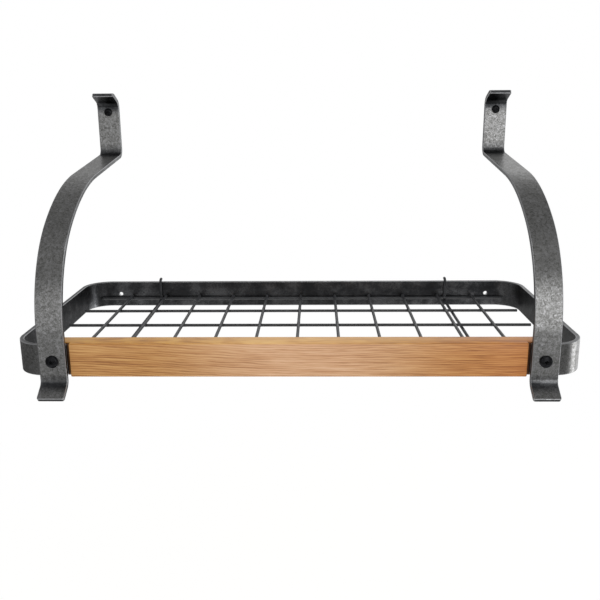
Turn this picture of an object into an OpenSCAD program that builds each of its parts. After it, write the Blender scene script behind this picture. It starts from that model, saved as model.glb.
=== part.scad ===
// Wall-mounted pot rack: a steel band bent to a tray outline, a wood front rail,
// two bowed flat-bar arms, a loose welded wire grid and the two hooked rods it lies on.
// Millimetres. X runs along the rack, the wall is the plane Y = 0 and the room is on
// the -Y side, Z is up. The origin lies midway between the two upper wall screws.

/* [Shelf band] */
// Overall width of the band
shelf_w = 610; // [540:5:760]
// Depth from the wall to the front face of the band
shelf_d = 290; // [250:5:340]
// Height of the bar that the band is bent from
band_h = 35; // [32:0.5:45]
// Thickness of the band's bar
band_t = 4.8; // [3:0.1:6]
// Outer radius of the four bent corners
corner_r = 34.5; // [25:0.5:45]
// Radius of the wall holes in the back of the band
band_hole_r = 2.75; // [2:0.05:3.5]

/* [Arms] */
// Distance from the band's side to each arm's centre line
arm_inset = 45.5; // [40:0.5:65]
// Width of the arm's flat bar
arm_w = 29; // [24:0.5:32]
// Thickness of the arm's flat bar
arm_t = 4.8; // [3:0.1:6]
// Height of the upper wall screws above the band's lower edge
screw_height = 270; // [245:5:340]
// Straight plate above the wall screw
plate_above = 5.5; // [5:0.5:12]
// Straight plate below the wall screw
plate_below = 48; // [30:1:60]
// Length of the flat part of the top lip
lip_len = 18.5; // [10:0.5:25]
// Angle through which the top lip is bent forward from the plate
lip_turn = 67; // [40:1:80]
// Inside radius of the lip, elbow and foot bends
bend_r = 8; // [5:0.5:12]
// Fall of the straight run below the horizontal
run_fall = 7; // [3:0.5:15]
// Radius of the upper half of the bow
bow_upper_r = 232; // [180:2:240]
// Angle of the upper half of the bow
bow_upper_turn = 29; // [15:1:35]
// Radius of the lower half of the bow
bow_lower_r = 136; // [100:2:145]
// Angle through which the foot is bent forward
foot_turn = 56; // [30:1:75]
// Length of the flat part of the foot
foot_len = 16; // [8:0.5:25]
// Depth of the bent foot's start below the band's lower edge
foot_drop = 2.5; // [0:0.5:8]

/* [Wood rail] */
// Height of the rail
rail_h = 37; // [34:0.5:46]
// Thickness of the rail from front to back
rail_t = 24.5; // [18:0.5:32]
// Distance that the rail stands proud of the band's front
rail_proud = 1; // [0:0.5:3]
// Gap between an arm's edge and the rail's shoulder
shoulder_gap = 3; // [1:0.5:6]
// Play between the rail's tenon and the band
tenon_play = 0.2; // [0.1:0.05:0.5]

/* [Wire grid] */
// Diameter of the grid's wire
wire_d = 3.7; // [3:0.1:4.5]
// Depth that a crossing wire is sunk into the wire below by the weld
weld_sink = 0.4; // [0.1:0.1:0.8]
// Distance from a long wire's end to the first cross wire
end_bay = 48; // [30:1:60]
// Gap between the long wires' ends and the band's nearer side
side_play = 10.2; // [5:0.2:16]
// Distance between the two front long wires
front_bay = 43; // [30:1:60]
// Sideways shift of the loose grid from the middle
grid_shift = -2; // [-4:0.5:4]
// Gap between the grid and the rods, and in front of the risers
grid_play = 0.3; // [0.3:0.05:0.8]
// Gap between the back long wire's ends and the band's bent corners
corner_play = 0.6; // [0.4:0.1:4]

/* [Hook rods] */
// Diameter of the two rods under the grid
rod_d = 3.7; // [3:0.1:4.5]
// Distance from the band's side to each rod
rod_inset = 103.5; // [90:0.5:130]
// Height of the rods above the band's lower edge
rod_height = 8; // [4:0.5:9]
// Depth of the blind hole that takes a rod's front end
rod_socket = 12; // [6:0.5:15]
// Play between a rod's riser and the band's inner face
hook_play = 0.15; // [0.12:0.01:0.4]

/* [Fasteners] */
// Radius of the arm bolts
bolt_r = 3; // [2.5:0.1:4]
// Length of the arm bolts under the head
bolt_len = 40; // [38:1:50]
// Radius of the arm bolts' heads
bolt_head_r = 6.7; // [5.5:0.1:8]
// Height of the arm bolts' heads
bolt_head_h = 3.6; // [2.5:0.1:5]
// Distance across the flats of the nuts
nut_af = 10; // [9:0.5:12]
// Thickness of the nuts
nut_t = 5; // [4:0.5:6]
// Outer radius of the washers
washer_r = 6.2; // [5.5:0.1:8]
// Thickness of the washers
washer_t = 1.2; // [0.8:0.1:2]
// Radius of the wall screws' thread
screw_r = 2.5; // [2.3:0.1:3]
// Radius of the wall screws' plain neck in the plate
screw_neck_r = 2.1; // [1.6:0.1:2.2]
// Length of the wall screws behind the wall face
screw_reach = 45; // [25:1:60]
// Radius of the wall screws' heads
screw_head_r = 5.2; // [4.5:0.1:6]
// Height of the wall screws' heads
screw_head_h = 3; // [2:0.1:4]
// Play between a bolt or screw and its hole
hole_play = 0.25; // [0.1:0.05:0.5]

/* [Hidden] */

steel = "#5b5d5e";
wire_black = "#2b2c2e";
screw_black = "#18181a";
zinc = "#8f9294";
cherry = "#c58a52";

// Angle of one facet along a bent bar
facet = 3;
round_fn = 48;
// How far a cut runs past the faces that it goes through
past = 1;
// How far a shank runs up into its head
rooted = 0.2;
// Play between the nuts' bores and the bolts
thread_play = 0.05;
// Gap at the outer ends of the rail's tenons, and at the rods' ends in the rail
end_room = 0.5;
// Gap between the hooks' ends and the wall
wall_gap = 0.3;
// Gap between a hook's inner side and the edges of the band's top
hook_seat = 0.05;
// Radius of the wall screws' points
screw_tip_r = 0.3;

// Heights, from the screws down
band_z = -screw_height;
band_mid = band_z + band_h / 2;
band_top = band_z + band_h;

// Places across and from front to back
arm_x = shelf_w / 2 - arm_inset;
rod_x = shelf_w / 2 - rod_inset;
arm_front = -(shelf_d + arm_t);
rail_front = -(shelf_d + rail_proud);
rail_back = rail_front + rail_t;
tenon_front = -shelf_d + band_t + tenon_play;
bolt_tip = arm_front + bolt_len;
return_x = arm_x - arm_w / 2;

// Rods and grid
rod_r = rod_d / 2;
wire_r = wire_d / 2;
rod_z = band_z + rod_height;
riser_y = -(band_t + hook_play + rod_r);
rod_bend_r = rod_r + grid_play + wire_r;
long_z = rod_z + rod_bend_r;
cross_z = long_z + wire_d - weld_sink;
back_wire_y = riser_y - rod_bend_r;
front_wire_y = bolt_tip + 2 * grid_play + wire_r;
long_pitch = (back_wire_y - front_wire_y - front_bay) / 3;
wire_ys = concat([front_wire_y], [for (i = [3:-1:0]) back_wire_y - i * long_pitch]);
long_half = shelf_w / 2 - band_t - side_play - abs(grid_shift);
// The back wire lies between the bent corners, so it is cut shorter
corner_in = corner_r - band_t;
corner_reach = sqrt(pow(corner_in, 2) - pow(corner_r + back_wire_y + wire_r, 2));
back_half = shelf_w / 2 - corner_r + corner_reach - corner_play - abs(grid_shift);
cross_count = 11;
cross_pitch = 2 * (long_half - end_bay) / (cross_count - 1);

function left_of(a) = [-sin(a), cos(a)];
function ahead(a) = [cos(a), sin(a)];

// Stations [point, heading] along a bar bent in one plane. A step is [length] for a
// straight run or [radius, turn] for a bend, where a positive turn is to the left.
function bend_path(steps, p, a, i = 0) =
    i == len(steps) ? [[p, a]] :
    let (s = steps[i])
    len(s) == 1
        ? concat([[p, a]], bend_path(steps, p + s[0] * ahead(a), a, i + 1))
        : let (
              n = ceil(abs(s[1]) / facet),
              side = sign(s[1]) * s[0],
              centre = p + side * left_of(a)
          )
          concat(
              [for (k = [0:n - 1]) [centre - side * left_of(a + s[1] * k / n), a + s[1] * k / n]],
              bend_path(steps, centre - side * left_of(a + s[1]), a + s[1], i + 1)
          );

// Outline of a bar of thickness t to the left of such a path, or to its right if negative
module bent_bar(stations, t) {
    back = [for (i = [len(stations) - 1:-1:0]) stations[i][0] + t * left_of(stations[i][1])];
    polygon(concat([for (s = stations) s[0]], back));
}

// Turns a drawing in X, Y into the Y, Z plane, with its height along X
module side_view() {
    rotate([90, 0, 90]) children();
}

// Cylinder along +Y from y0
module along_y(x, y0, z, r, len) {
    translate([x, y0, z]) rotate([-90, 0, 0]) cylinder(r = r, h = len, $fn = round_fn);
}

module shelf_band() {
    stub = shelf_w / 2 - corner_r - return_x;
    side = shelf_d - 2 * corner_r;
    back = shelf_w - 2 * corner_r;
    steps = [
        [stub], [corner_r, -90], [side], [corner_r, -90], [back],
        [corner_r, -90], [side], [corner_r, -90], [stub]
    ];
    color(steel)
    difference() {
        translate([0, 0, band_z])
            linear_extrude(band_h)
            bent_bar(bend_path(steps, [-return_x, -shelf_d], 180), -band_t);
        for (s = [-1, 1]) {
            along_y(s * arm_x, -shelf_d - past, band_mid, bolt_r + hole_play, band_t + 2 * past);
            along_y(s * arm_x, -band_t - past, band_mid, band_hole_r, band_t + 2 * past);
        }
    }
}

module front_rail() {
    shoulder_x = arm_x - arm_w / 2 - shoulder_gap;
    tenon_x = shelf_w / 2 - corner_r - end_room;
    color(cherry)
    difference() {
        union() {
            translate([-shoulder_x, rail_front, band_mid - rail_h / 2])
                cube([2 * shoulder_x, rail_t, rail_h]);
            translate([-tenon_x, tenon_front, band_mid - rail_h / 2])
                cube([2 * tenon_x, rail_back - tenon_front, rail_h]);
        }
        for (s = [-1, 1]) {
            along_y(s * arm_x, rail_front - past, band_mid, bolt_r + hole_play, rail_t + 2 * past);
            along_y(s * rod_x, rail_back - rod_socket, rod_z, rod_r + hook_play, rod_socket + past);
        }
    }
}

// Side profile of an arm: the line of its front face from the lip's tip to the foot's tip
module arm_profile() {
    elbow_turn = 90 - run_fall;
    bow_lower_turn = elbow_turn - bow_upper_turn;
    bow_upper_reach = bow_upper_r * (cos(bow_lower_turn) - cos(elbow_turn));
    bow_lower_reach = bow_lower_r * (1 - cos(bow_lower_turn));
    elbow_reach = bend_r * (1 - cos(elbow_turn));
    run = (shelf_d - elbow_reach - bow_upper_reach - bow_lower_reach) / sin(elbow_turn);
    drop = plate_below + bend_r * sin(elbow_turn) + run * cos(elbow_turn)
        + bow_upper_r * (sin(elbow_turn) - sin(bow_lower_turn))
        + bow_lower_r * sin(bow_lower_turn);
    leg = screw_height - drop + foot_drop;
    tip = [
        -arm_t - bend_r * (1 - cos(lip_turn)) - lip_len * sin(lip_turn),
        plate_above + bend_r * sin(lip_turn) + lip_len * cos(lip_turn)
    ];
    steps = [
        [lip_len], [bend_r, -lip_turn], [plate_above + plate_below],
        [bend_r, -elbow_turn], [run], [bow_upper_r, bow_upper_turn],
        [bow_lower_r, bow_lower_turn], [leg], [bend_r, -foot_turn], [foot_len]
    ];
    bent_bar(bend_path(steps, tip, lip_turn - 90), arm_t);
}

module arm(side) {
    color(steel)
    difference() {
        translate([side * arm_x - arm_w / 2, 0, 0])
            side_view() linear_extrude(arm_w) arm_profile();
        along_y(side * arm_x, -arm_t - past, 0, screw_r + hole_play, arm_t + 2 * past);
        along_y(side * arm_x, arm_front - past, band_mid, bolt_r + hole_play, arm_t + 2 * past);
    }
}

module grid_long_wire(i) {
    half = i == len(wire_ys) ? back_half : long_half;
    color(wire_black)
    translate([grid_shift - half, wire_ys[i - 1], long_z])
        rotate([0, 90, 0])
        cylinder(r = wire_r, h = 2 * half, $fn = round_fn);
}

module grid_cross_wire(i) {
    x = grid_shift + (i - (cross_count + 1) / 2) * cross_pitch;
    color(wire_black)
    along_y(x, front_wire_y - wire_r, cross_z, wire_r, back_wire_y - front_wire_y + wire_d);
}

// Quarter bend of a rod in the side view, from angle a, about centre c
module rod_bend(c, a) {
    side_view() translate([c[0], c[1], 0]) rotate([0, 0, a])
        rotate_extrude(angle = 90, $fn = round_fn) translate([rod_bend_r, 0]) circle(r = rod_r, $fn = round_fn);
}

module hook_rod(side) {
    inner = rod_bend_r - rod_r;
    hook_z = band_top - sqrt(pow(inner - hook_play + hook_seat, 2) - pow(inner - hook_play, 2));
    socket_end = rail_back - rod_socket + end_room;
    color(wire_black)
    translate([side * rod_x, 0, 0])
    union() {
        along_y(0, socket_end, rod_z, rod_r, back_wire_y - socket_end);
        rod_bend([back_wire_y, long_z], -90);
        translate([0, riser_y, long_z]) cylinder(r = rod_r, h = hook_z - long_z, $fn = round_fn);
        rod_bend([riser_y + rod_bend_r, hook_z], 90);
        along_y(0, riser_y + rod_bend_r, hook_z + rod_bend_r, rod_r, -(riser_y + rod_bend_r) - wall_gap);
    }
}

// Low domed head with a cross recess, its flat side at y = 0 and its dome towards -Y
module cross_head(r, h) {
    arc = 6;
    rim_h = 0.45 * h;
    recess = [r, 0.55 * h, 0.18 * r];
    dome = [for (k = [0:arc]) [r * cos(90 * k / arc), rim_h + (h - rim_h) * sin(90 * k / arc)]];
    difference() {
        rotate([90, 0, 0]) rotate_extrude($fn = round_fn) polygon(concat([[0, 0], [r, 0]], dome));
        for (a = [0, 90])
            rotate([0, a, 0]) translate([-recess[0] / 2, -h - past, -recess[2] / 2])
                cube([recess[0], recess[1] + past, recess[2]]);
    }
}

module arm_bolt(side) {
    color(screw_black)
    union() {
        translate([side * arm_x, arm_front, band_mid]) cross_head(bolt_head_r, bolt_head_h);
        along_y(side * arm_x, arm_front - rooted, band_mid, bolt_r, bolt_len + rooted);
    }
}

module bolt_washer(side) {
    color(zinc)
    difference() {
        along_y(side * arm_x, rail_back, band_mid, washer_r, washer_t);
        along_y(side * arm_x, rail_back - past, band_mid, bolt_r + hole_play, washer_t + 2 * past);
    }
}

module bolt_nut(side) {
    color(zinc)
    difference() {
        translate([side * arm_x, rail_back + washer_t, band_mid]) rotate([-90, 0, 0])
            cylinder(r = nut_af / 2 / cos(30), h = nut_t, $fn = 6);
        along_y(side * arm_x, rail_back, band_mid, bolt_r + thread_play, washer_t + nut_t + past);
    }
}

module wall_screw(side) {
    point = 2 * screw_r;
    color(screw_black)
    union() {
        translate([side * arm_x, -arm_t, 0]) cross_head(screw_head_r, screw_head_h);
        along_y(side * arm_x, -arm_t - rooted, 0, screw_neck_r, arm_t + rooted);
        along_y(side * arm_x, 0, 0, screw_r, screw_reach - point);
        translate([side * arm_x, screw_reach - point, 0]) rotate([-90, 0, 0])
            cylinder(r1 = screw_r, r2 = screw_tip_r, h = point, $fn = round_fn);
    }
}

shelf_band();
front_rail();
arm(-1);  // left_arm
arm(1);  // right_arm
for (i = [1:len(wire_ys)])
    grid_long_wire(i);
for (i = [1:cross_count])
    grid_cross_wire(i);
hook_rod(-1);  // left_hook_rod
hook_rod(1);  // right_hook_rod
arm_bolt(-1);  // left_arm_bolt
arm_bolt(1);  // right_arm_bolt
bolt_washer(-1);  // left_bolt_washer
bolt_washer(1);  // right_bolt_washer
bolt_nut(-1);  // left_bolt_nut
bolt_nut(1);  // right_bolt_nut
wall_screw(-1);  // left_wall_screw
wall_screw(1);  // right_wall_screw
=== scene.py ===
# Wall-mounted pot rack: a hammered steel band with a wood front rail, hung on two bowed arms,
# and a loose welded wire grid that lies on two hooked rods. Meshes are made in millimetres in
# the frame's own axes, +X to the right, +Y into the wall and +Z up, and are scaled at the end.
import math
from bisect import bisect_right

import bmesh
import bpy
from bmesh.types import BMEdge, BMFace, BMVert
from mathutils import Matrix, Vector, noise


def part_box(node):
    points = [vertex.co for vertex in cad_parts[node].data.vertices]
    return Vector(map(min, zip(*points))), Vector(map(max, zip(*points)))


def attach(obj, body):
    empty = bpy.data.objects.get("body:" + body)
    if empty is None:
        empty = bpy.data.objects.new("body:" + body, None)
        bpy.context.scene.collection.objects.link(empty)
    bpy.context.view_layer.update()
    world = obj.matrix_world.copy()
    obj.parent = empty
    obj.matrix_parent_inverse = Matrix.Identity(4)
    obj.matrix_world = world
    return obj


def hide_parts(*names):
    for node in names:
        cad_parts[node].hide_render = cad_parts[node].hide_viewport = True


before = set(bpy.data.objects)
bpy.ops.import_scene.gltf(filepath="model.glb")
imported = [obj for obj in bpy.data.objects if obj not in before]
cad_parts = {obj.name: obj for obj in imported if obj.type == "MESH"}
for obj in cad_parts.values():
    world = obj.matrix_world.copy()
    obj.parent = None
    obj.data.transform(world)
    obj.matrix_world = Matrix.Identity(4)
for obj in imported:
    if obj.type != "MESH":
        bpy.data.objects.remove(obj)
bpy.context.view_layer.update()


# Shelf band. One flat bar of hot-rolled mild steel, hammered on all its faces, then bent round
# four corners to the outline of a tray. Its two ends turn in at the front, where they take the
# rail's tenons and the arm bolts, and two holes in its back take wall screws.
MM = 0.001


def cad(node):
    """Lowest and highest corner of a CAD node, in millimetres."""
    low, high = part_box(node)
    return low / MM, high / MM


def only(kind, parts):
    """The vertices, the edges or the faces among the parts that an operator made."""
    return [part for part in parts if isinstance(part, kind)]


def bar_blank(length, width, thick, cell, edge_r):
    """Straight bar along X from 0, its width along Z round 0, its thickness along Y from 0."""
    bm = bmesh.new()
    stand = Matrix(((0, 0, 1, 0), (0, 1, 0, thick / 2), (1, 0, 0, 0), (0, 0, 0, 1)))
    bmesh.ops.create_grid(
        bm, x_segments=round(width / cell), y_segments=round(thick / cell), size=0.5,
        matrix=stand @ Matrix.Diagonal((width, thick, 1, 1)))
    corners = [v for v in bm.verts if len(v.link_edges) == 2]
    bmesh.ops.bevel(
        bm, geom=corners, offset=edge_r, affect="VERTICES", segments=3, profile=0.5, material=-1)
    grown = bmesh.ops.extrude_face_region(bm, geom=bm.faces[:])["geom"]
    bmesh.ops.translate(bm, verts=only(BMVert, grown), vec=(length, 0, 0))
    long_edges = [e for e in bm.edges if e.calc_length() > length / 2]
    bmesh.ops.subdivide_edges(
        bm, edges=long_edges, cuts=round(length / cell) - 1, use_grid_fill=True)
    bmesh.ops.recalc_face_normals(bm, faces=bm.faces)
    return bm


def score(bm, at, facing):
    """Adds edges where a plane, given by a point and the way it faces, cuts a mesh."""
    bmesh.ops.bisect_plane(
        bm, geom=bm.verts[:] + bm.edges[:] + bm.faces[:], dist=1e-4, plane_co=at, plane_no=facing)


def eased(from_end, r):
    """How far a rounded corner of radius r stands back at a distance from the end."""
    return r - math.sqrt(r * r - (r - from_end) ** 2) if from_end < r else 0.0


def ease_ends(bm, length, width, thick, corner_r, rim_r):
    """Rounds the corners and the rims of a blank's two sheared ends."""
    for share in (0.06, 0.25, 0.5, 0.8):
        for at in (share * corner_r, length - share * corner_r):
            score(bm, (at, 0, 0), (1, 0, 0))
    for v in bm.verts:
        from_end = max(0.0, min(v.co.x, length - v.co.x))
        v.co.z *= 1 - 2 * eased(from_end, corner_r) / width
        v.co.y = thick / 2 + (v.co.y - thick / 2) * (1 - 2 * eased(from_end, rim_r) / thick)


def drill(bm, at, radius, room, depth=None):
    """Bores a round hole along Y at a point: clears the faces round it, draws the rims of the gap
    in to circles and lines the hole. A blind hole has a depth and its mouth at the point."""
    at = Vector(at)
    bm.normal_update()
    cleared = []
    for f in bm.faces:
        off = f.calc_center_median() - at
        if abs(f.normal.y) > 0.9 and max(abs(off.x), abs(off.z)) < radius + room:
            if depth is None or abs(off.y) < room:
                cleared.append(f)
    bmesh.ops.delete(bm, geom=cleared, context="FACES")
    rough = [e for e in bm.edges if e.is_boundary]
    hole_sides = 24
    hole_rims = 1 if depth else 2
    cuts = math.ceil(hole_sides * hole_rims / len(rough)) - 1
    if cuts:
        bmesh.ops.subdivide_edges(bm, edges=rough, cuts=cuts)
    grown = bmesh.ops.extrude_edge_only(bm, edges=[e for e in bm.edges if e.is_boundary])["geom"]
    for v in only(BMVert, grown):
        centre = Vector((at.x, v.co.y, at.z))
        v.co = centre + radius * (v.co - centre).normalized()
    mouths = [e for e in only(BMEdge, grown) if e.is_boundary]
    if depth is None:
        bmesh.ops.bridge_loops(bm, edges=mouths)
    else:
        walls = bmesh.ops.extrude_edge_only(bm, edges=mouths)["geom"]
        bmesh.ops.translate(bm, verts=only(BMVert, walls), vec=(0, -depth, 0))
        bmesh.ops.holes_fill(bm, edges=only(BMEdge, walls))


def mark_skin(bm, length, width):
    """Keeps how sharply the skin turns at each point of a blank, where its rims are rubbed bright and
    get a painted highlight, and how much mill scale was left there: on the narrow sides and sheared
    ends, nearly all."""
    rim = bm.verts.layers.float.new("rim")
    scale_and_shade_layer = bm.verts.layers.float.new("scale_and_shade")
    full_rim_turn = 0.4
    side_scale = 0.9
    bm.normal_update()
    for v in bm.verts:
        v[rim] = min(1.0, max(e.calc_face_angle(0) for e in v.link_edges) / full_rim_turn)
        to_side = min(width / 2 - abs(v.co.z), v.co.x, length - v.co.x)
        v[scale_and_shade_layer] = side_scale if to_side < 0.1 else 0.0


def hammer(bm, dent, depth, seed):
    """Presses round dents into a blank, inwards only, and keeps how deep each point lies."""
    bm.normal_update()
    pressed = bm.verts.layers.float.new("dent")
    rim = bm.verts.layers.float["rim"]
    bowl_r = 0.8
    for v in bm.verts:
        near = noise.voronoi(v.co / dent + Vector((seed, seed, seed)))[0][0]
        v[pressed] = max(0.0, 1 - (near / bowl_r) ** 2) * (1 - v[rim])
        v.co -= v.normal * depth * v[pressed]


def developed(steps):
    """Length of bar that a list of straight runs (length,) and bends (radius, turn) takes."""
    return sum(step[0] * (1 if len(step) == 1 else math.radians(abs(step[1]))) for step in steps)


def bend(bm, steps, start, heading, plane):
    """Bends a blank along the steps, which run in the first two axes of the plane's matrix. A
    positive turn is to the left, and the blank's thickness lies to the left of the steps."""
    def left(a):
        return Vector((-math.sin(a), math.cos(a)))

    stations, s, at, a = [], 0.0, Vector(start), math.radians(heading)
    for step in steps:
        turn = math.radians(step[1]) if len(step) > 1 else 0.0
        run = step[0] * abs(turn) if turn else step[0]
        side = math.copysign(step[0], turn) if turn else 0.0
        stations.append((s, at, a, run, turn, side))
        if turn:
            at = at + side * (left(a) - left(a + turn))
        else:
            at = at + run * Vector((math.cos(a), math.sin(a)))
        s, a = s + run, a + turn
    starts = [station[0] for station in stations]
    for v in bm.verts:
        s, at, a, run, turn, side = stations[max(0, bisect_right(starts, v.co.x) - 1)]
        here = a + turn * (v.co.x - s) / run
        if turn:
            point = at + side * (left(a) - left(here))
        else:
            point = at + (v.co.x - s) * Vector((math.cos(a), math.sin(a)))
        point += v.co.y * left(here)
        v.co = plane @ Vector((point.x, point.y, v.co.z))


def linear(colour):
    """An sRGB hex colour as linear RGBA."""
    parts = [int(colour[i:i + 2], 16) / 255 for i in (1, 3, 5)]
    return (*[c / 12.92 if c <= 0.04045 else ((c + 0.055) / 1.055) ** 2.4 for c in parts], 1.0)


def add(tree, kind, inputs=None, stops=None, **settings):
    """Adds a node: its settings, its inputs as values or as sockets to link, and a ramp's stops."""
    made = tree.nodes.new(kind)
    for name, value in settings.items():
        setattr(made, name, value)
    for name, value in (inputs or {}).items():
        if isinstance(value, bpy.types.NodeSocket):
            tree.links.new(value, made.inputs[name])
        else:
            made.inputs[name].default_value = value
    for i, (at, colour) in enumerate(stops or []):
        stop = made.color_ramp.elements[i] if i < 2 else made.color_ramp.elements.new(at)
        stop.position, stop.color = at, linear(colour)
    return made


def new_finish(name):
    """An empty material and its node tree."""
    made = bpy.data.materials.new(name)
    made.use_nodes = True
    made.node_tree.nodes.clear()
    return made, made.node_tree


def shade(mesh, crease=35):
    """Shades a mesh smooth between its creases."""
    mesh.shade_smooth()
    mesh.set_sharp_from_angle(angle=math.radians(crease))


def finished(bm, name, finish):
    """Turns a mesh in millimetres into an object in metres with its finish."""
    bmesh.ops.recalc_face_normals(bm, faces=bm.faces)
    bmesh.ops.scale(bm, vec=(MM, MM, MM), verts=bm.verts)
    mesh = bpy.data.meshes.new(name)
    bm.to_mesh(mesh)
    bm.free()
    shade(mesh)
    mesh.materials.append(finish)
    made = bpy.data.objects.new(name, mesh)
    bpy.context.scene.collection.objects.link(made)
    return made


# Hammered mild steel under a clear lacquer: a soft pewter sheen that breaks up into a fine light
# and dark squiggle. Rims are lighter, partly rubbed bright and partly a painted highlight. One
# amount paints a dark mottled crust where it is 1, which is mill scale on the narrow sides and
# painted shade on the inner faces and at the arms' bends, and paints black shade as it rises to 2.
hammered_steel, tree = new_finish("hammered_steel")
coords = add(tree, "ShaderNodeTexCoord").outputs["Object"]
dents = add(tree, "ShaderNodeAttribute", attribute_name="dent").outputs["Fac"]
# Rims are painted lighter, partly rubbed wear and partly a painted highlight.
rims = add(tree, "ShaderNodeAttribute", attribute_name="rim").outputs["Fac"]
rims = add(tree, "ShaderNodeMath", {0: rims, 1: 3.0}, operation="POWER").outputs[0]
# One amount carries mill scale and painted shade; above 1 it paints black shade.
scale = add(tree, "ShaderNodeAttribute", attribute_name="scale_and_shade").outputs["Fac"]
black_shade = add(tree, "ShaderNodeMath", {0: scale, 1: 1.0}, operation="SUBTRACT").outputs[0]
mottle = add(tree, "ShaderNodeTexNoise", {
    "Vector": coords, "Scale": 1 / (2.6 * MM), "Detail": 2.0, "Roughness": 0.6,
    "Distortion": 1.2}).outputs["Fac"]
patches = add(tree, "ShaderNodeTexNoise", {
    "Vector": coords, "Scale": 1 / (24 * MM), "Detail": 3.0, "Roughness": 0.55}).outputs["Fac"]
worn = add(tree, "ShaderNodeMath", {
    0: dents, 1: -0.08, 2: mottle}, operation="MULTIPLY_ADD").outputs[0]
worn = add(tree, "ShaderNodeMath", {
    0: patches, 1: 0.16, 2: worn}, operation="MULTIPLY_ADD").outputs[0]
skin = add(tree, "ShaderNodeValToRGB", {"Fac": worn}, stops=[
    (0.33, "#686866"), (0.79, "#aeaeb0"), (0.55, "#8b8b8a")]).outputs["Color"]
blotches = add(tree, "ShaderNodeMath", {
    0: mottle, 1: 0.5, 2: patches}, operation="MULTIPLY_ADD").outputs[0]
crust_and_shade = add(tree, "ShaderNodeValToRGB", {"Fac": blotches}, stops=[
    (0.62, "#3d3e40"), (0.9, "#6c6d6f"), (0.75, "#4e4f51")]).outputs["Color"]
# Mixes in the crust of mill scale and painted shade, the painted black shade and the lighter rims.
for amount, colour in ((scale, crust_and_shade), (black_shade, linear("#1c1d1e")), (rims, linear("#a8a9ab"))):
    skin = add(tree, "ShaderNodeMix", {
        "Factor": amount, 6: skin, 7: colour}, data_type="RGBA").outputs[2]
sheen = add(tree, "ShaderNodeMapRange", {
    "Value": worn, "From Min": 0.33, "From Max": 0.78, "To Min": 0.38, "To Max": 0.27}).outputs[0]
relief = add(tree, "ShaderNodeBump", {
    "Strength": 0.6, "Distance": 0.07 * MM, "Height": mottle}).outputs["Normal"]
shader = add(tree, "ShaderNodeBsdfPrincipled", {
    "Base Color": skin, "Metallic": 1.0, "Roughness": sheen, "Normal": relief})
add(tree, "ShaderNodeOutputMaterial", {"Surface": shader.outputs[0]})

steel_cell = 1.2
steel_edge_r = 0.9
dent_size = 4.2
dent_depth = 0.07
hole_room = 0.6 * steel_cell
inner_skin = 0.5

band_low, band_high = cad("shelf_band")
band_w = band_high.x - band_low.x
band_d = band_high.y - band_low.y
band_h = band_high.z - band_low.z
band_t = 4.8
band_corner_r = 34.5
band_end_r = 2.0
band_end_rim_r = 0.8
band_hole_r = 2.75
band_dent_seed = 3.7
band_mid = (band_low.z + band_high.z) / 2

arm_low, arm_high = cad("right_arm")
arm_x = (arm_low.x + arm_high.x) / 2
arm_w = arm_high.x - arm_low.x
bolt_hole_r = 3.25

stub = band_w / 2 - band_corner_r - arm_low.x
side = band_d - 2 * band_corner_r
back = band_w - 2 * band_corner_r
corner = (band_corner_r, -90)
band_steps = [(stub,), corner, (side,), corner, (back,), corner, (side,), corner, (stub,)]
band_len = developed(band_steps)
bolt_from_middle = (band_len - arm_w) / 2
bm = bar_blank(band_len, band_h, band_t, steel_cell, steel_edge_r)
ease_ends(bm, band_len, band_h, band_t, band_end_r, band_end_rim_r)
for from_middle, hole_r in (
        (-bolt_from_middle, bolt_hole_r), (-arm_x, band_hole_r), (arm_x, band_hole_r),
        (bolt_from_middle, bolt_hole_r)):
    drill(bm, (band_len / 2 + from_middle, band_t, 0), hole_r, hole_room)
mark_skin(bm, band_len, band_h)
# The inner face is darkened with painted shade, and a share of it is lifted past the back's right
# end.
shade_fades_from = (band_len + back) / 2
shade_fade_len = 60.0
shade_lifted_share = 0.35
scale_and_shade_layer = bm.verts.layers.float["scale_and_shade"]
for v in bm.verts:
    if v.co.y < inner_skin:
        v[scale_and_shade_layer] = 1 - shade_lifted_share * min(1.0, max(0.0, v.co.x - shade_fades_from) / shade_fade_len)
hammer(bm, dent_size, dent_depth, band_dent_seed)
bmesh.ops.translate(bm, verts=bm.verts, vec=(0, -band_t, 0))
bend(bm, band_steps, (-arm_low.x, band_low.y), 180, Matrix.Translation((0, 0, band_mid)))
band = finished(bm, "bent_band", hammered_steel)
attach(band, "frame")
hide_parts("shelf_band")


# Front rail. A planed cherry board, its long edges eased by sanding, with a clear satin lacquer.
# At each end a tenon is cut back behind the band's turned-in end, an arm bolt goes through it,
# and two blind holes in its back take the front ends of the hook rods.
rail_low, rail_high = cad("front_rail")
rail_edge_r = 1.1
shoulder_x = arm_low.x - 3.0
tenon_front = band_low.y + band_t + 0.2
rod_low, rod_high = cad("right_hook_rod")
rod_x = (rod_low.x + rod_high.x) / 2
rod_r = (rod_high.x - rod_low.x) / 2
rod_z = rod_low.z + rod_r
rod_hole_r = rod_r + 0.15
rod_hole_depth = 12.0
bolt_hole_patch = 5.0
rod_hole_patch = 3.2

# The board was sawn along a slightly bent trunk: its growth lines fall by 12 mm over its left
# half and run level in its right half.
cherry_wood, tree = new_finish("lacquered_cherry")
coords = add(tree, "ShaderNodeTexCoord").outputs["Object"]
axes = add(tree, "ShaderNodeSeparateXYZ", {0: coords}).outputs
fall = add(tree, "ShaderNodeMapRange", {
    "Value": axes["X"], "From Min": -0.27, "From Max": 0.02, "To Min": -12 * MM, "To Max": 0.0},
    interpolation_type="SMOOTHSTEP").outputs[0]
level = add(tree, "ShaderNodeMath", {0: axes["Z"], 1: fall}, operation="ADD").outputs[0]
trunk = add(tree, "ShaderNodeCombineXYZ", {0: axes["X"], 1: axes["Y"], 2: level}).outputs[0]
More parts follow.
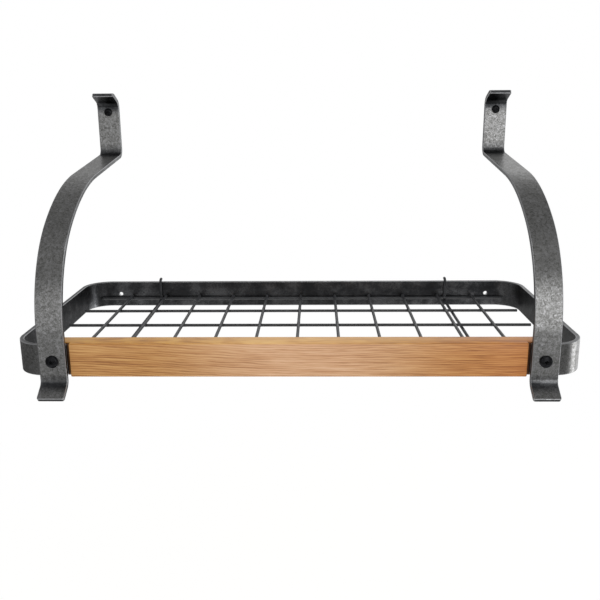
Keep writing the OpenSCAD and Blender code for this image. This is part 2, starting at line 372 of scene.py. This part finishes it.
# Its grain is made of thin dark lines, wavy and soft growth rings, wide clouds and short fibres.
# Their spans along, through and up the trunk are in millimetres, and the wave texture that draws
# the rings repeats every pi / 10 of its own span.
ring_gap = 2.6
grain = 0.0
for share, kind, spans, inputs, settings in (
        (0.7, "ShaderNodeTexNoise", (60, 6, 2.3), {
            "Detail": 3.0, "Roughness": 0.65, "Distortion": 0.3}, {}),
        (0.16, "ShaderNodeTexWave", (34, 12, 10 * ring_gap / math.pi), {
            "Distortion": 5.0, "Detail": 2.0, "Detail Scale": 1.0}, {"bands_direction": "Z"}),
        (0.2, "ShaderNodeTexNoise", (140, 20, 13), {"Detail": 2.0, "Roughness": 0.5}, {}),
        (0.4, "ShaderNodeTexNoise", (26, 1.2, 1.0), {"Detail": 2.0, "Roughness": 0.6}, {})):
    bed = add(tree, "ShaderNodeMapping", {
        "Vector": trunk, "Scale": [1 / (span * MM) for span in spans]}).outputs[0]
    pattern = add(tree, kind, {"Vector": bed, "Scale": 1.0, **inputs}, **settings).outputs["Fac"]
    grain = add(tree, "ShaderNodeMath", {
        0: pattern, 1: share, 2: grain}, operation="MULTIPLY_ADD").outputs[0]
fibres = pattern
# A painted sheen makes the middle paler and pinker, and the right end is a little redder.
figure = add(tree, "ShaderNodeValToRGB", {"Fac": grain}, stops=[
    (0.54, "#946233"), (0.92, "#cb9c60"), (0.7, "#b78249")]).outputs["Color"]
sheen_figure = add(tree, "ShaderNodeValToRGB", {"Fac": grain}, stops=[
    (0.54, "#b5845c"), (0.92, "#deb692"), (0.7, "#ce9f77")]).outputs["Color"]
pale_start = add(tree, "ShaderNodeMapRange", {
    "Value": axes["X"], "From Min": -0.17, "From Max": -0.01},
    interpolation_type="SMOOTHSTEP").outputs[0]
pale_end = add(tree, "ShaderNodeMapRange", {
    "Value": axes["X"], "From Min": 0.03, "From Max": 0.19, "To Min": 1.0, "To Max": 0.0},
    interpolation_type="SMOOTHSTEP").outputs[0]
pale = add(tree, "ShaderNodeMath", {0: pale_start, 1: pale_end}, operation="MINIMUM").outputs[0]
# Mixes in the painted sheen towards the middle.
figure = add(tree, "ShaderNodeMix", {
    "Factor": pale, 6: figure, 7: sheen_figure}, data_type="RGBA").outputs[2]
red = add(tree, "ShaderNodeMapRange", {
    "Value": axes["X"], "From Min": 0.1, "From Max": 0.25}).outputs[0]
# The top edge is tinted yellower. Painted shade darkens the end grain of the shoulders and the
# cheeks of the tenons in the gaps beside the arms.
top = add(tree, "ShaderNodeMapRange", {
    "Value": axes["Z"], "From Min": (rail_high.z - rail_edge_r) * MM,
    "From Max": rail_high.z * MM}).outputs[0]
for amount, stain in ((red, "#fce2d2"), (top, "#fffac4")):
    figure = add(tree, "ShaderNodeMix", {
        "Factor": amount, 6: figure, 7: linear(stain)},
        data_type="RGBA", blend_type="MULTIPLY").outputs[2]
outward = add(tree, "ShaderNodeMath", {0: axes["X"]}, operation="ABSOLUTE").outputs[0]
outward = add(tree, "ShaderNodeMapRange", {
    "Value": outward, "From Min": (shoulder_x - 0.7) * MM,
    "From Max": shoulder_x * MM}).outputs[0]
forward = add(tree, "ShaderNodeMapRange", {
    "Value": axes["Y"], "From Min": (tenon_front + 0.6) * MM, "From Max": (tenon_front + 1.6) * MM,
    "To Min": 0.85, "To Max": 0.0}).outputs[0]
below = add(tree, "ShaderNodeMapRange", {
    "Value": axes["Z"], "From Min": (rail_high.z - rail_edge_r) * MM,
    "From Max": (rail_high.z - 0.3) * MM, "To Min": 1.0, "To Max": 0.0}).outputs[0]
# Painted shade in the gaps beside the arms.
gap_shade = add(tree, "ShaderNodeMath", {0: outward, 1: forward}, operation="MULTIPLY").outputs[0]
gap_shade = add(tree, "ShaderNodeMath", {0: gap_shade, 1: below}, operation="MULTIPLY").outputs[0]
figure = add(tree, "ShaderNodeMix", {
    "Factor": gap_shade, 6: figure, 7: linear("#3c2416")}, data_type="RGBA").outputs[2]
# The faces that show have a satin lacquer. The back was only wiped with oil and is duller.
sheen = add(tree, "ShaderNodeMapRange", {
    "Value": axes["Y"], "From Min": (rail_high.y - 1.0) * MM, "From Max": (rail_high.y - 0.2) * MM,
    "To Min": 0.38, "To Max": 0.85}).outputs[0]
relief = add(tree, "ShaderNodeBump", {
    "Strength": 0.2, "Distance": 0.08 * MM, "Height": fibres}).outputs["Normal"]
shader = add(tree, "ShaderNodeBsdfPrincipled", {
    "Base Color": figure, "Roughness": sheen, "IOR": 1.5, "Normal": relief})
add(tree, "ShaderNodeOutputMaterial", {"Surface": shader.outputs[0]})

bm = bmesh.new()
plan = [
    (rail_high.x, rail_high.y), (-rail_high.x, rail_high.y), (-rail_high.x, tenon_front),
    (-shoulder_x, tenon_front), (-shoulder_x, rail_low.y), (shoulder_x, rail_low.y),
    (shoulder_x, tenon_front), (rail_high.x, tenon_front)]
sole = bm.faces.new([bm.verts.new((x, y, rail_low.z)) for x, y in plan])
grown = bmesh.ops.extrude_face_region(bm, geom=[sole])["geom"]
bmesh.ops.translate(bm, verts=only(BMVert, grown), vec=(0, 0, rail_high.z - rail_low.z))
outer_edges = [
    e for e in bm.edges
    if any(abs(abs(v.co.x) - shoulder_x) > 0.01 or abs(v.co.y - tenon_front) > 0.01 for v in e.verts)]
bmesh.ops.bevel(
    bm, geom=outer_edges, offset=rail_edge_r, affect="EDGES", segments=3, profile=0.5, material=-1)
rail_holes = (
    (arm_x, band_mid, bolt_hole_r, bolt_hole_patch, None),
    (rod_x, rod_z, rod_hole_r, rod_hole_patch, rod_hole_depth))
for x, z, hole_r, patch, depth in rail_holes:
    for sign in (-1, 1):
        for off in (-patch, patch):
            score(bm, (sign * x + off, 0, 0), (1, 0, 0))
            score(bm, (0, 0, z + off), (0, 0, 1))
for sign in (-1, 1):
    for x, z, hole_r, patch, depth in rail_holes:
        drill(bm, (sign * x, rail_high.y, z), hole_r, patch - hole_r, depth)
rail = finished(bm, "cherry_rail", cherry_wood)
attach(rail, "frame")
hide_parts("front_rail")


# Arms. Each is one flat bar of the same hammered steel, bent flatwise: a lip turned out at the
# top, a plate on the wall, an elbow, a long bow down to the band, and a foot turned out below it.
hands = (("left", -1), ("right", 1))
arm_t = 4.8
arm_end_r = 2.4
arm_end_rim_r = 1.0
bend_r = 8.0
lip_len, lip_turn = 18.5, 67.0
plate_above, plate_below = 5.5, 48.0
run_fall = 7.0
bow_upper_r, bow_upper_turn, bow_lower_r = 232.0, 29.0, 136.0
foot_turn, foot_len, foot_drop = 56.0, 16.0, 2.5
screw_hole_r = 2.75
arm_dent_seed = 11.3

elbow_turn = 90 - run_fall
bow_lower_turn = elbow_turn - bow_upper_turn
elbow, upper = math.radians(elbow_turn), math.radians(bow_lower_turn)
run = (
    band_d - bend_r * (1 - math.cos(elbow)) - bow_upper_r * (math.cos(upper) - math.cos(elbow))
    - bow_lower_r * (1 - math.cos(upper))) / math.sin(elbow)
drop = (
    plate_below + bend_r * math.sin(elbow) + run * math.cos(elbow)
    + bow_upper_r * (math.sin(elbow) - math.sin(upper)) + bow_lower_r * math.sin(upper))
leg = -band_low.z - drop + foot_drop
arm_steps = [
    (lip_len,), (bend_r, -lip_turn), (plate_above + plate_below,), (bend_r, -elbow_turn), (run,),
    (bow_upper_r, bow_upper_turn), (bow_lower_r, bow_lower_turn), (leg,), (bend_r, -foot_turn),
    (foot_len,)]
lip = math.radians(lip_turn)
lip_tip = (
    -arm_t - bend_r * (1 - math.cos(lip)) - lip_len * math.sin(lip),
    plate_above + bend_r * math.sin(lip) + lip_len * math.cos(lip))
arm_len = developed(arm_steps)
screw_hole_at = developed(arm_steps[:2]) + plate_above
bolt_hole_at = arm_len - developed(arm_steps[8:]) - (band_mid - (band_low.z - foot_drop))

# On the inner face, painted shade is nearly black along the lip. A full dark crust of painted shade
# lies at the elbow and at the foot's bend and fades out beside them. The feet's sheared ends are
# painted black shade too, and the lighter rim of rubbed wear and painted highlight is faint on
# the rims in front of them.
lip_black_shade = 1.6
lip_black_shade_to = developed(arm_steps[:2]) + 1
lip_black_shade_fade = 8.0
shaded_bends = (
    (developed(arm_steps[:4]), 5.0, 14.0),
    (developed(arm_steps[:8]) + 6, 2.0, 10.0))
foot_black_shade = 2.0
foot_black_shade_len = 0.3
foot_rim_len = 1.5
foot_rim_share = 0.2
for hand, sign in hands:
    bm = bar_blank(arm_len, arm_w, arm_t, steel_cell, steel_edge_r)
    ease_ends(bm, arm_len, arm_w, arm_t, arm_end_r, arm_end_rim_r)
    drill(bm, (screw_hole_at, arm_t, 0), screw_hole_r, hole_room)
    drill(bm, (bolt_hole_at, arm_t, 0), bolt_hole_r, hole_room)
    mark_skin(bm, arm_len, arm_w)
    scale_and_shade_layer = bm.verts.layers.float["scale_and_shade"]
    rim = bm.verts.layers.float["rim"]
    # Paints shade along the lip, at the bends and on the feet's ends, and weakens the lighter rims
    # there.
    for v in bm.verts:
        if v.co.y < inner_skin:
            at_lip = min(lip_black_shade, 1 - (v.co.x - lip_black_shade_to) / lip_black_shade_fade)
            bend_shade = max(1 - (abs(v.co.x - at) - reach) / fade for at, reach, fade in shaded_bends)
            v[scale_and_shade_layer] = max(v[scale_and_shade_layer], at_lip, min(1.0, bend_shade))
        elif v.co.y > arm_t / 2 and v.co.x > arm_len - foot_rim_len:
            v[rim] *= foot_rim_share
        if v.co.x > arm_len - foot_black_shade_len:
            v[scale_and_shade_layer] = foot_black_shade
    hammer(bm, dent_size, dent_depth, arm_dent_seed + sign)
    stand = Matrix(((0, 0, 1, sign * arm_x), (1, 0, 0, 0), (0, 1, 0, 0), (0, 0, 0, 1)))
    bend(bm, arm_steps, lip_tip, lip_turn - 90, stand)
    arm = finished(bm, hand + "_bowed_arm", hammered_steel)
    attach(arm, "frame")
    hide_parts(hand + "_arm")


# Arm bolts. Black oxide steel machine bolts with domed heads and cross recesses, one through
# each arm, the band and the rail's tenon. The real ones have an M6 thread. Here that length is
# plain, as thick as the thread's root.
bolt_low, bolt_high = cad("right_arm_bolt")
bolt_len = bolt_high.y - bolt_low.y
bolt_head_r = (bolt_high.x - bolt_low.x) / 2
bolt_head_h = band_low.y - arm_t - bolt_low.y
bolt_head_rim = 1.5
bolt_recess_r = 0.42 * bolt_head_r
bolt_recess_depth = 2.0
bolt_r = 3.0
bolt_root_r = 2.55
bolt_thread_len = 17.6
bolt_runout = 0.4
bolt_chamfer = 0.6

# The oiled black oxide layer is thin: it is slightly uneven and rubbed a little greyer in spots.
black_oxide, tree = new_finish("black_oxide_steel")
coords = add(tree, "ShaderNodeTexCoord").outputs["Object"]
uneven = add(tree, "ShaderNodeTexNoise", {
    "Vector": coords, "Scale": 1 / (1.5 * MM), "Detail": 3.0, "Roughness": 0.6}).outputs["Fac"]
oxide = add(tree, "ShaderNodeValToRGB", {"Fac": uneven}, stops=[
    (0.3, "#1c1c1e"), (0.75, "#343537")]).outputs["Color"]
gloss = add(tree, "ShaderNodeMapRange", {
    "Value": uneven, "From Min": 0.3, "From Max": 0.7, "To Min": 0.3, "To Max": 0.42}).outputs[0]
relief = add(tree, "ShaderNodeBump", {
    "Strength": 0.2, "Distance": 0.05 * MM, "Height": uneven}).outputs["Normal"]
shader = add(tree, "ShaderNodeBsdfPrincipled", {
    "Base Color": oxide, "Metallic": 1.0, "Roughness": gloss, "Normal": relief})
add(tree, "ShaderNodeOutputMaterial", {"Surface": shader.outputs[0]})


def turn(bm, profile, at, segments):
    """Turns a closed profile of (radius, distance along +Y) about the +Y axis through a point."""
    points = [bm.verts.new(Vector(at) + Vector((r, y, 0))) for r, y in profile]
    outline = [bm.edges.new(pair) for pair in zip(points, points[1:])]
    bmesh.ops.spin(
        bm, geom=points + outline, cent=at, axis=(0, 1, 0), angle=2 * math.pi, steps=segments,
        use_merge=True)
    bmesh.ops.remove_doubles(bm, verts=bm.verts, dist=1e-4)


def dome(head_r, head_h, rim_h):
    """Profile of a domed head from its top, at 0, to its underside, at the head's height."""
    arcs = 7
    chamfer = 0.25
    angles = [math.pi / 2 * k / arcs for k in range(arcs + 1)]
    crown = [(head_r * math.sin(a), (head_h - rim_h) * (1 - math.cos(a))) for a in angles]
    return crown + [(head_r, head_h - chamfer), (head_r - chamfer, head_h)]


def cross_recess(piece, at, radius, depth):
    """Cuts a tapered cross recess into a head whose top is at a point and faces -Y. The length
    and width of its slots, at their floor and 1 mm in front of the head, are shares of its
    radius."""
    floor_size, front_size = (0.8, 0.24), (1.9, 0.5)
    for upright in (False, True):
        cutter_bm = bmesh.new()
        bmesh.ops.create_cube(cutter_bm, size=1)
        for v in cutter_bm.verts:
            y, (long, wide) = (depth, floor_size) if v.co.y > 0 else (-1.0, front_size)
            v.co = (v.co.x * radius * long, y, v.co.z * radius * wide)
        if upright:
            bmesh.ops.rotate(
                cutter_bm, verts=cutter_bm.verts, cent=(0, 0, 0),
                matrix=Matrix.Rotation(math.pi / 2, 3, "Y"))
        bmesh.ops.translate(cutter_bm, verts=cutter_bm.verts, vec=at)
        cutter = finished(cutter_bm, "cutter", black_oxide)
        cut = piece.modifiers.new("recess", "BOOLEAN")
        cut.object, cut.operation, cut.solver = cutter, "DIFFERENCE", "EXACT"
        evaluated = piece.evaluated_get(bpy.context.evaluated_depsgraph_get())
        mesh = bpy.data.meshes.new_from_object(evaluated)
        piece.modifiers.clear()
        piece.data = mesh
        bpy.data.objects.remove(cutter)
    shade(piece.data)


for hand, sign in hands:
    bm = bmesh.new()
    head_top = (sign * arm_x, bolt_low.y, band_mid)
    turn(bm, dome(bolt_head_r, bolt_head_h, bolt_head_rim) + [
        (bolt_r, bolt_head_h), (bolt_r, bolt_len - bolt_thread_len - bolt_runout),
        (bolt_root_r, bolt_len - bolt_thread_len), (bolt_root_r, bolt_len - bolt_chamfer),
        (bolt_root_r - bolt_chamfer, bolt_len), (0, bolt_len)], head_top, 48)
    bolt = finished(bm, hand + "_domed_bolt", black_oxide)
    cross_recess(bolt, head_top, bolt_recess_r, bolt_recess_depth)
    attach(bolt, "frame")
    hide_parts(hand + "_arm_bolt")


# Washers and nuts. Zinc plated steel, pressed and cold formed, on the bolts behind the tenons:
# a flat washer spreads the load on the wood, and a hexagon nut draws the joint together.
washer_low, washer_high = cad("right_bolt_washer")
washer_r = (washer_high.x - washer_low.x) / 2
washer_t = washer_high.y - washer_low.y
washer_bore_r = bolt_r + 0.25
washer_rim_r = 0.15
nut_low, nut_high = cad("right_bolt_nut")
nut_h = nut_high.y - nut_low.y
nut_corner_r = (nut_high.z - nut_low.z) / 2 / math.cos(math.pi / 6)
nut_bore_r = bolt_r + 0.05
nut_corner_cut = 0.7

# Bright zinc has a bluish white sheen with a faint spangle about 1 mm across.
zinc_plate, tree = new_finish("zinc_plated_steel")
coords = add(tree, "ShaderNodeTexCoord").outputs["Object"]
spangle = add(tree, "ShaderNodeTexNoise", {
    "Vector": coords, "Scale": 1 / (1.0 * MM), "Detail": 2.0, "Roughness": 0.5}).outputs["Fac"]
plating = add(tree, "ShaderNodeValToRGB", {"Fac": spangle}, stops=[
    (0.3, "#9a9da2"), (0.7, "#bcbfc4")]).outputs["Color"]
gloss = add(tree, "ShaderNodeMapRange", {
    "Value": spangle, "From Min": 0.3, "From Max": 0.7, "To Min": 0.26, "To Max": 0.38}).outputs[0]
shader = add(tree, "ShaderNodeBsdfPrincipled", {
    "Base Color": plating, "Metallic": 1.0, "Roughness": gloss})
add(tree, "ShaderNodeOutputMaterial", {"Surface": shader.outputs[0]})


def ring_blank(outer_r, outer_sides, inner_r, inner_sides, at, thick):
    """Flat ring in the X, Z plane from a point towards +Y, such as a washer or a nut's blank."""
    bm = bmesh.new()
    stand = Matrix.Translation(at) @ Matrix.Rotation(-math.pi / 2, 4, "X")
    for r, sides in ((outer_r, outer_sides), (inner_r, inner_sides)):
        bmesh.ops.create_circle(bm, cap_ends=False, radius=r, segments=sides, matrix=stand)
    bmesh.ops.bridge_loops(bm, edges=bm.edges[:])
    grown = bmesh.ops.extrude_face_region(bm, geom=bm.faces[:])["geom"]
    bmesh.ops.translate(bm, verts=only(BMVert, grown), vec=(0, thick, 0))
    return bm


for hand, sign in hands:
    bm = ring_blank(
        washer_r, 40, washer_bore_r, 40, (sign * arm_x, washer_low.y, band_mid), washer_t)
    rims = [e for e in bm.edges if e.calc_face_angle(0) > 1]
    bmesh.ops.bevel(
        bm, geom=rims, offset=washer_rim_r, affect="EDGES", segments=2, profile=0.5, material=-1)
    washer = finished(bm, hand + "_flat_washer", zinc_plate)
    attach(washer, "frame")
    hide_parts(hand + "_bolt_washer")

    bm = ring_blank(nut_corner_r, 6, nut_bore_r, 24, (sign * arm_x, nut_low.y, band_mid), nut_h)
    bm.normal_update()
    axis = Vector((sign * arm_x, 0, band_mid))
    corners = [v for v in bm.verts if (v.co * Vector((1, 0, 1)) - axis).length > nut_corner_r - 0.1]
    bmesh.ops.bevel(
        bm, geom=corners, offset=nut_corner_cut, affect="VERTICES", segments=2, profile=0.5,
        material=-1)
    nut = finished(bm, hand + "_hexagon_nut", zinc_plate)
    shade(nut.data, crease=25)
    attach(nut, "frame")
    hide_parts(hand + "_bolt_nut")


# Hook rods. Two lengths of wire in the same black coating as the grid. Each is plugged into the
# rail, runs back under the grid, turns up inside the band's back and hooks over its top edge.
long_low, long_high = cad("grid_long_wire_5")
wire_r = (long_high.z - long_low.z) / 2
back_wire_y = (long_low.y + long_high.y) / 2
rod_bend_r = rod_r + wire_r + 0.3
rod_rim_r = 0.35
rod_end_y = -0.3
rise_from = rod_z + rod_bend_r
rise_to = rod_high.z - rod_r - rod_bend_r
hook_y = back_wire_y + 2 * rod_bend_r

# Baked powder is satin and slightly pebbled, with pebbles about 1.2 mm across.
black_coat, tree = new_finish("black_powder_coat")
coords = add(tree, "ShaderNodeTexCoord").outputs["Object"]
pebbles = add(tree, "ShaderNodeTexNoise", {
    "Vector": coords, "Scale": 1 / (1.2 * MM), "Detail": 2.0, "Roughness": 0.5}).outputs["Fac"]
dusting = add(tree, "ShaderNodeTexNoise", {
    "Vector": coords, "Scale": 1 / (9 * MM), "Detail": 3.0, "Roughness": 0.6}).outputs["Fac"]
coat = add(tree, "ShaderNodeValToRGB", {"Fac": dusting}, stops=[
    (0.3, "#242527"), (0.75, "#3a3b3e")]).outputs["Color"]
gloss = add(tree, "ShaderNodeMapRange", {
    "Value": dusting, "From Min": 0.3, "From Max": 0.7, "To Min": 0.3, "To Max": 0.42}).outputs[0]
relief = add(tree, "ShaderNodeBump", {
    "Strength": 0.3, "Distance": 0.06 * MM, "Height": pebbles}).outputs["Normal"]
shader = add(tree, "ShaderNodeBsdfPrincipled", {
    "Base Color": coat, "Roughness": gloss, "IOR": 1.5, "Normal": relief})
add(tree, "ShaderNodeOutputMaterial", {"Surface": shader.outputs[0]})


def wire_end(bm, at, along, radius):
    """Round end face of a wire at a point, in a list."""
    stand = Matrix.Translation(at) @ Vector(along).to_track_quat("Z", "Y").to_matrix().to_4x4()
    made = bmesh.ops.create_circle(bm, cap_ends=True, radius=radius, segments=16, matrix=stand)
    return made["verts"][0].link_faces[:]


def push(bm, faces, by):
    """Extrudes a wire's end faces straight on."""
    grown = bmesh.ops.extrude_face_region(bm, geom=faces)["geom"]
    bmesh.ops.translate(bm, verts=only(BMVert, grown), vec=by)
    return only(BMFace, grown)


def round_rims(bm, r):
    """Rounds the rims of a wire's cut ends."""
    rims = [e for e in bm.edges if any(len(f.verts) > 4 for f in e.link_faces)]
    bmesh.ops.bevel(
        bm, geom=rims, offset=r, affect="EDGES", segments=2, profile=0.5, material=-1)


for hand, sign in hands:
    bm = bmesh.new()
    x = sign * rod_x
    faces = wire_end(bm, (x, rod_low.y, rod_z), (0, 1, 0), rod_r)
    faces = push(bm, faces, (0, back_wire_y - rod_low.y, 0))
    for centre, angle, by in (
            ((x, back_wire_y, rise_from), 90, (0, 0, rise_to - rise_from)),
            ((x, hook_y, rise_to), -90, (0, rod_end_y - hook_y, 0))):
        curled = bmesh.ops.spin(
            bm, geom=faces, cent=centre, axis=(1, 0, 0), angle=math.radians(angle), steps=9)
        faces = push(bm, only(BMFace, curled["geom_last"]), by)
    round_rims(bm, rod_rim_r)
    rod = finished(bm, hand + "_bent_rod", black_coat)
    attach(rod, "frame")
    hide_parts(hand + "_hook_rod")


# Grid. Eleven cross wires are resistance welded on top of five long wires and the whole mat is
# coated black. It lies loose on the rods. Each wire swells a little where a weld was pressed.
wire_rim_r = 0.5
wire_cell = 2.0
weld_swell = 0.1
weld_reach = 2.2


def grid_wire(low, high, axis, crossings):
    """A straight wire that fills a CAD wire's box along X (0) or Y (1), swollen at its welds."""
    bm = bmesh.new()
    along = Vector((1, 0, 0)) if axis == 0 else Vector((0, 1, 0))
    start = (low + high) / 2
    start[axis] = low[axis]
    length = high[axis] - low[axis]
    push(bm, wire_end(bm, start, along, wire_r), length * along)
    round_rims(bm, wire_rim_r)
    long_edges = [e for e in bm.edges if e.calc_length() > length / 2]
    bmesh.ops.subdivide_edges(
        bm, edges=long_edges, cuts=round(length / wire_cell), use_grid_fill=True)
    for v in bm.verts:
        near = min(abs(v.co[axis] - c) for c in crossings)
        core = start.copy()
        core[axis] = v.co[axis]
        v.co = core + (v.co - core) * (1 + weld_swell * math.exp(-((near / weld_reach) ** 2)))
    return bm


long_names = [f"grid_long_wire_{i}" for i in range(1, 6)]
cross_names = [f"grid_cross_wire_{i}" for i in range(1, 12)]
long_ys = [(cad(n)[0].y + cad(n)[1].y) / 2 for n in long_names]
cross_xs = [(cad(n)[0].x + cad(n)[1].x) / 2 for n in cross_names]
for names, axis, crossings in ((long_names, 0, cross_xs), (cross_names, 1, long_ys)):
    for name in names:
        bm = grid_wire(*cad(name), axis, crossings)
        wire = finished(bm, name.replace("grid", "welded"), black_coat)
        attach(wire, "grid")
        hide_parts(name)


# Wall screws. Black steel screws with domed heads and cross recesses hold the arms' plates. In
# the plate a screw has a plain neck, and behind the wall face a thinner core and a point. The
# coarse thread that a real one has on the core isn't drawn.
screw_low, screw_high = cad("right_wall_screw")
screw_len = screw_high.y - screw_low.y
screw_head_r = (screw_high.x - screw_low.x) / 2
screw_head_h = -arm_t - screw_low.y
screw_head_rim = 1.2
screw_recess_r = 0.46 * screw_head_r
screw_recess_depth = 1.7
screw_neck_r = 2.1
screw_neck_taper = 1.0
screw_core_r = 1.7
screw_point_len = 6.0
for hand, sign in hands:
    bm = bmesh.new()
    head_top = (sign * arm_x, screw_low.y, 0)
    turn(bm, dome(screw_head_r, screw_head_h, screw_head_rim) + [
        (screw_neck_r, screw_head_h), (screw_neck_r, -screw_low.y),
        (screw_core_r, screw_neck_taper - screw_low.y),
        (screw_core_r, screw_len - screw_point_len), (0, screw_len)], head_top, 40)
    screw = finished(bm, hand + "_domed_screw", black_oxide)
    cross_recess(screw, head_top, screw_recess_r, screw_recess_depth)
    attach(screw, "frame")
    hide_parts(hand + "_wall_screw")


# Studio. A plain pale round floor under the rack, a plain surround, soft lamps round the rack, and
# the camera where the photograph was taken from.
floor_z = -1.0
floor_r = 1.5

# For the light that falls on the rack the floor is pale paint. The camera and the reflections see
# it nearly white with the rack's soft shadow, and fading out to the white round it.
pale_floor, tree = new_finish("pale_floor")
coords = add(tree, "ShaderNodeTexCoord").outputs["Object"]
reach = add(tree, "ShaderNodeVectorMath", {0: coords}, operation="LENGTH").outputs["Value"]
fade = add(tree, "ShaderNodeMapRange", {
    "Value": reach, "From Min": 0.75 * floor_r, "From Max": 1.15 * floor_r},
    interpolation_type="SMOOTHSTEP").outputs[0]
paint = add(tree, "ShaderNodeBsdfDiffuse", {"Color": linear("#e6e5e2")}).outputs[0]
glow = add(tree, "ShaderNodeEmission", {"Color": linear("#ffffff"), "Strength": 0.86}).outputs[0]
tint = add(tree, "ShaderNodeBsdfDiffuse", {"Color": linear("#6a6966")}).outputs[0]
shown = add(tree, "ShaderNodeAddShader", {0: glow, 1: tint}).outputs[0]
white = add(tree, "ShaderNodeEmission", {"Color": linear("#ffffff"), "Strength": 1.0}).outputs[0]
faded = add(tree, "ShaderNodeMixShader", {0: fade, 1: shown, 2: white}).outputs[0]
ray = add(tree, "ShaderNodeLightPath").outputs
seen = add(tree, "ShaderNodeMath", {
    0: ray["Is Camera Ray"], 1: ray["Is Glossy Ray"]}, operation="MAXIMUM").outputs[0]
seen = add(tree, "ShaderNodeMath", {
    0: seen, 1: ray["Is Transmission Ray"]}, operation="MAXIMUM").outputs[0]
mixed = add(tree, "ShaderNodeMixShader", {0: seen, 1: paint, 2: faded}).outputs[0]
add(tree, "ShaderNodeOutputMaterial", {"Surface": mixed})
bm = bmesh.new()
bmesh.ops.create_circle(
    bm, cap_ends=True, radius=floor_r / MM, segments=96,
    matrix=Matrix.Translation((0, 0, floor_z / MM)))
floor = finished(bm, "studio_floor", pale_floor)

# The camera sees the surround white. It lights the rack less from below than from above, and
# reflections see it dimmer overhead, low down, on the room's side and to the left.
world = bpy.data.worlds.new("white_surround")
bpy.context.scene.world = world
world.use_nodes = True
tree = world.node_tree
tree.nodes.clear()
direction = add(tree, "ShaderNodeTexCoord").outputs["Generated"]
axes = add(tree, "ShaderNodeSeparateXYZ", {0: direction}).outputs
ambient = add(tree, "ShaderNodeMapRange", {
    "Value": axes["Z"], "From Min": -0.4, "From Max": 0.7, "To Min": 0.5, "To Max": 0.95},
    interpolation_type="SMOOTHSTEP").outputs[0]
mirrored = 1.0
for axis, start, end, at_start, at_end in (
        ("Z", 0.2, 0.85, 1.0, 0.26), ("Z", -0.3, 0.0, 0.1, 1.0),
        ("Y", -0.3, 0.3, 0.3, 1.0), ("X", -0.5, 0.25, 0.4, 0.88)):
    dimmed = add(tree, "ShaderNodeMapRange", {
        "Value": axes[axis], "From Min": start, "From Max": end, "To Min": at_start,
        "To Max": at_end}, interpolation_type="SMOOTHSTEP").outputs[0]
    mirrored = add(tree, "ShaderNodeMath", {
        0: mirrored, 1: dimmed}, operation="MINIMUM").outputs[0]
ray = add(tree, "ShaderNodeLightPath").outputs
reflected = add(tree, "ShaderNodeMath", {
    0: ray["Is Glossy Ray"], 1: ray["Is Transmission Ray"]}, operation="MAXIMUM").outputs[0]
strength = add(tree, "ShaderNodeMix", {
    "Factor": reflected, 2: ambient, 3: mirrored}, data_type="FLOAT").outputs[0]
strength = add(tree, "ShaderNodeMix", {
    "Factor": ray["Is Camera Ray"], 2: strength, 3: 1.0}, data_type="FLOAT").outputs[0]
surround = add(tree, "ShaderNodeBackground", {
    "Color": linear("#ffffff"), "Strength": strength}).outputs[0]
add(tree, "ShaderNodeOutputWorld", {"Surface": surround})


def softbox(name, at, aim, width, height, radiance):
    """Rectangular soft lamp of a given brightness that faces a point and isn't seen itself."""
    lamp = bpy.data.lights.new(name, "AREA")
    lamp.shape, lamp.size, lamp.size_y = "RECTANGLE", width, height
    lamp.energy = radiance * math.pi * width * height
    made = bpy.data.objects.new(name, lamp)
    made.location = at
    made.rotation_euler = (Vector(at) - Vector(aim)).to_track_quat("Z", "Y").to_euler()
    made.visible_camera = False
    bpy.context.scene.collection.objects.link(made)


rack_middle = (0, -0.15, -0.15)
softbox("front_right_lamp", (0.82, -2.3, 0.12), rack_middle, 0.75, 1.8, 1.9)
softbox("front_left_lamp", (-0.85, -2.3, -0.05), rack_middle, 0.75, 1.9, 0.72)
softbox("right_lamp", (2.2, -0.05, -0.85), rack_middle, 0.8, 1.1, 3.1)
softbox("back_right_lamp", (1.7, 1.2, -0.75), rack_middle, 1.5, 1.0, 1.0)
softbox("high_lamp", (0.0, -1.4, 1.9), rack_middle, 0.7, 0.9, 3.0)

camera = bpy.data.cameras.new("camera")
camera.lens = 44.824
camera.sensor_width = 36.0
camera_at = (0.02099, -1.03666, 0.01053)
camera_pitch, camera_yaw, camera_roll = 14.801, -1.346, -0.482
viewer = bpy.data.objects.new("camera", camera)
viewer.matrix_world = (
    Matrix.Translation(camera_at)
    @ Matrix.Rotation(math.radians(-camera_yaw), 4, "Z")
    @ Matrix.Rotation(math.radians(90 - camera_pitch), 4, "X")
    @ Matrix.Rotation(math.radians(camera_roll), 4, "Z"))
bpy.context.scene.collection.objects.link(viewer)
bpy.context.scene.camera = viewer
bpy.context.scene.view_settings.view_transform = "Standard"
